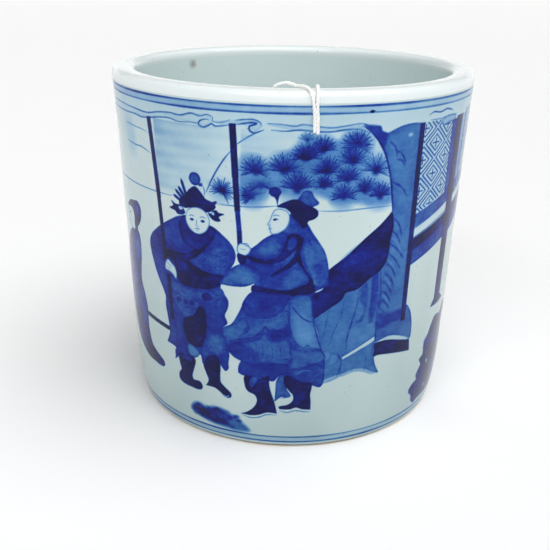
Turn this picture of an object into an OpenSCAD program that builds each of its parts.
// Brush holder pot: a thrown porcelain cylinder that widens a little towards a thick rounded
// lip, with a base slab luted in, glaze inside, outside and under the base, and a bare foot
// ring. A thin tie string is looped over the front of the lip.
// Millimetres, +Z up. The origin is the middle of the foot, on the surface that the pot
// stands on. The front of the painting faces -Y.

/* [Outside] */
// Height from the foot to the top of the lip
height = 173.5; // [160:0.5:190]
// Diameter that the straight wall would have at the foot
wall_low_d = 167.2; // [162:0.2:170]
// Diameter that the straight wall would have at the top
wall_high_d = 178.6; // [174:0.2:184]
// How far the wall turns in at the foot
foot_turn_in = 3.3; // [1:0.1:5]
// Height over which the turn at the foot dies away
foot_turn_h = 12; // [6:0.5:18]
// How far the wall flares out under the lip
lip_flare = 1; // [0:0.1:2]
// Height over which the flare under the lip dies away
lip_flare_h = 12; // [6:0.5:18]

/* [Lip] */
// Width of the lip from outside to inside
lip_w = 11.2; // [9:0.1:13]
// Height of the rounded top of the lip
lip_h = 5; // [3:0.5:8]

/* [Inside and base] */
// Inner diameter of the pot at the floor, over the glaze
bore_low_d = 153; // [148:0.5:156]
// Height of the glazed floor above the foot
floor_z = 11.5; // [9:0.5:16]
// Radius of the cove between the wall and the floor
cove_r = 5; // [2:0.5:8]
// Depth of the recess under the base
recess_h = 3; // [2:0.5:4]
// Inner diameter of the foot ring
foot_ring_d = 132; // [110:1:140]
// Width of the worn chamfer round the foot
foot_chamfer = 0.8; // [0.3:0.1:1.5]

/* [Glaze] */
// Thickness of every coat of glaze
glaze_t = 0.5; // [0.3:0.05:0.8]
// Height above the foot at which the outer glaze stops
glaze_stop_z = 1.3; // [1:0.1:3]

/* [String] */
// Diameter of the tie string
string_d = 1.5; // [1:0.1:2]

/* [Hidden] */
$fn = 120;
wall_steps = 24;
lip_step_deg = 10;
cove_step_deg = 18;
string_sides = 8;

biscuit_colour = "#cfc8bc";
glaze_colour = "#c3d5d8";
lip_colour = "#f0f8f6";
string_colour = "#fbfbf8";

lip_z = height - lip_h;
lip_out_r = outer_r(lip_z);
lip_mid_r = lip_out_r - lip_w / 2;
lip_in_r = lip_out_r - lip_w;
cove_z = floor_z + cove_r;
cove_mid_r = bore_r(cove_z) - cove_r;
slab_top_z = floor_z - glaze_t;
slab_r = bore_low_d / 2 + glaze_t;
base_glaze_r = foot_ring_d / 2 - 0.4;

// The string's route: up the outside of the wall, left along the lip, down inside, round
// the hanging loop, up the inside again, over the lip and down the outside.
string_route = [
    [7.6, -89.6, 156.6], [7.5, -89.8, 160], [7, -90.1, 164], [6.4, -90.5, 168],
    [5.9, -90.3, 171.2], [5.2, -88.8, 173.5], [4.1, -86.5, 174.4], [2.5, -84, 174.5],
    [0.4, -81.9, 174.4], [-2, -80.6, 174.9], [-4.4, -80.1, 175.2], [-6.8, -79.6, 174.6],
    [-8.8, -78.7, 173.3], [-10.1, -77.4, 171.2], [-10.7, -76.8, 168], [-11, -76.6, 164],
    [-11, -76.5, 158], [-10.8, -76.4, 152], [-10.4, -76.4, 146], [-9.5, -76.4, 140],
    [-7.8, -76.5, 135], [-5, -76.6, 131], [-1, -76.8, 129.4], [3, -76.7, 131],
    [6, -76.6, 135], [7.8, -76.5, 140], [8.6, -76.5, 146], [8.9, -76.6, 152],
    [9, -76.7, 158], [9, -76.8, 164], [9, -77, 168], [8.9, -77.7, 171.9],
    [8.9, -79.8, 173.9], [8.8, -83.8, 174.4], [8.7, -87.8, 173.9], [8.7, -89.7, 171.9],
    [8.7, -90.3, 168], [8.9, -90, 164], [9.1, -89.7, 160], [9.2, -89.4, 156]
];

// Radius of the glazed outside at height z: a straight taper, less the turn at the foot,
// plus the flare under the lip
function outer_r(z) = wall_low_d / 2 + (wall_high_d - wall_low_d) / 2 * z / height
    - foot_turn_in * exp(-z / foot_turn_h) + lip_flare * exp((z - height) / lip_flare_h);

// Radius of the glazed inside at height z
function bore_r(z) = bore_low_d / 2 + (lip_in_r - bore_low_d / 2) * z / lip_z;

// A power that keeps its sign, for the lip's rounded-square section
function soft(v) = sign(v) * pow(abs(v), 2 / 3);

// The outside wall from where the glaze stops up to the lip, under the glaze by inset
function wall_points(inset) = [
    for (i = [0 : wall_steps])
        let (z = glaze_stop_z + (lip_z - glaze_stop_z) * i / wall_steps)
        [outer_r(z) - inset, z]
];

// The lip from outside to inside, under the glaze by inset
function lip_points(inset) = [
    for (a = [0 : lip_step_deg : 180])
        [
            lip_mid_r + (lip_w / 2 - inset) * soft(cos(a)),
            lip_z + (lip_h - inset) * soft(sin(a))
        ]
];

// The cove from the wall down to the floor, under the glaze by inset
function cove_points(inset) = [
    for (a = [0 : -cove_step_deg : -90])
        [cove_mid_r + (cove_r + inset) * cos(a), cove_z + (cove_r + inset) * sin(a)]
];

function backwards(list) = [for (i = [len(list) - 1 : -1 : 0]) list[i]];

function unit(v) = v / norm(v);

function tangent(route, i) =
    unit(route[min(i + 1, len(route) - 1)] - route[max(i - 1, 0)]);

// One sideways direction per route point, carried along so that the tube doesn't twist
function sideways(route, i = 0, last = [1, 0, 0]) = i == len(route) ? [] :
    let (t = tangent(route, i), side = unit(last - (last * t) * t))
    concat([side], sideways(route, i + 1, side));

module turned(outline, colour) {
    color(colour) rotate_extrude() polygon(outline);
}

module tube(route, r, sides) {
    side = sideways(route);
    points = [
        for (i = [0 : len(route) - 1], k = [0 : sides - 1])
            let (a = 360 * k / sides, up = cross(tangent(route, i), side[i]))
            route[i] + r * (cos(a) * side[i] + sin(a) * up)
    ];
    last = (len(route) - 1) * sides;
    walls = [
        for (i = [0 : len(route) - 2], k = [0 : sides - 1])
            let (n = (k + 1) % sides)
            [i * sides + k, (i + 1) * sides + k, (i + 1) * sides + n, i * sides + n]
    ];
    ends = [
        [for (k = [0 : sides - 1]) k],
        [for (k = [sides - 1 : -1 : 0]) last + k]
    ];
    polyhedron(points, concat(walls, ends));
}

// The thrown wall with its lip, its foot ring and the clay cove over the slab
module wall_body() {
    foot_r = outer_r(0) - glaze_t;
    turned(concat(
        [[foot_ring_d / 2, 0], [foot_r - foot_chamfer, 0], [foot_r, foot_chamfer]],
        wall_points(glaze_t),
        lip_points(glaze_t),
        cove_points(glaze_t),
        [[slab_r, slab_top_z], [slab_r, recess_h], [foot_ring_d / 2, recess_h]]
    ), biscuit_colour);
}

// The flat slab luted into the bottom of the wall
module base_slab() {
    color(biscuit_colour) translate([0, 0, recess_h])
        cylinder(r = slab_r, h = slab_top_z - recess_h);
}

// The coat over the painted outside
module outer_glaze() {
    turned(concat(wall_points(0), backwards(wall_points(glaze_t))), glaze_colour);
}

// The thicker white coat over the lip
module lip_glaze() {
    turned(concat(lip_points(0), backwards(lip_points(glaze_t))), lip_colour);
}

// The coat over the inside wall, the cove and the floor
module inner_glaze() {
    turned(concat(
        [[lip_in_r, lip_z]],
        cove_points(0),
        [[0, floor_z], [0, slab_top_z]],
        backwards(cove_points(glaze_t)),
        [[lip_in_r + glaze_t, lip_z]]
    ), glaze_colour);
}

// The coat inside the recess under the base
module base_glaze() {
    color(glaze_colour) translate([0, 0, recess_h - glaze_t])
        cylinder(r = base_glaze_r, h = glaze_t);
}

// The string looped over the lip
module tie_string() {
    color(string_colour) tube(string_route, string_d / 2, string_sides);
}

wall_body();
base_slab();
outer_glaze();
lip_glaze();
inner_glaze();
base_glaze();
tie_string();
